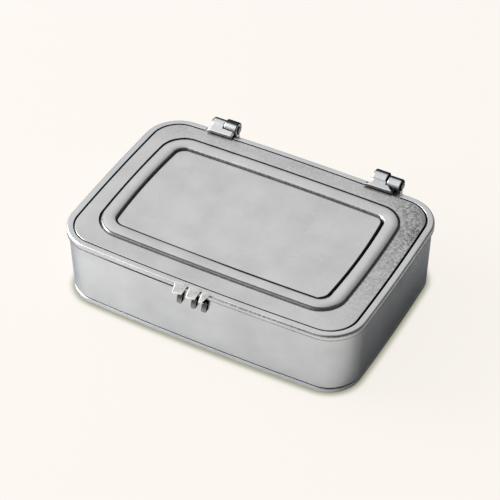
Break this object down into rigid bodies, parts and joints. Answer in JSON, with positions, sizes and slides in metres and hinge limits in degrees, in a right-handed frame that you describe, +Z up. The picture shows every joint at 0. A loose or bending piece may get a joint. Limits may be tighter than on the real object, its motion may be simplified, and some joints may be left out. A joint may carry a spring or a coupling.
{
  "type": "trinket box",
  "caption": "Low rectangular pewter keepsake box with a hinged lid, a raised frame on the lid, pinned hinges at the back and a lobed friction catch at the front.",
  "frame": {"origin": "on the surface that the box stands on, below the middle of the object's bounding box, hinges and catch included", "axes": "+Z up, +X along the length of the box, to the right seen from the front, +Y towards the hinges at the back"},
  "size_m": [0.13, 0.0961, 0.0361],
  "materials": {
    "pewter_body": "satin cast pewter",
    "pewter_lid": "satin cast pewter, finely pitted",
    "pewter_fittings": "satin cast pewter, worn bright on the edges",
    "pin": "drawn wire"
  },
  "bodies": {
    "box_body": {"base_plate": "pewter_body", "body_walls": "pewter_body", "hinge_bracket_left": "pewter_fittings", "hinge_bracket_right": "pewter_fittings", "hinge_pin_left": "pin", "hinge_pin_right": "pin", "catch_ear_left": "pewter_fittings", "catch_ear_right": "pewter_fittings"},
    "lid": {"lid_rim": "pewter_lid", "lid_plate": "pewter_lid", "hinge_leaf_left": "pewter_fittings", "hinge_leaf_right": "pewter_fittings", "catch_tongue": "pewter_fittings"}
  },
  "joints": [
    {"name": "lid_hinge", "type": "hinge", "parent": "box_body", "child": "lid", "pos_m": [0, 0.04515, 0.0332], "axis": [-1, 0, 0], "range_deg": [0, 180]}
  ]
}
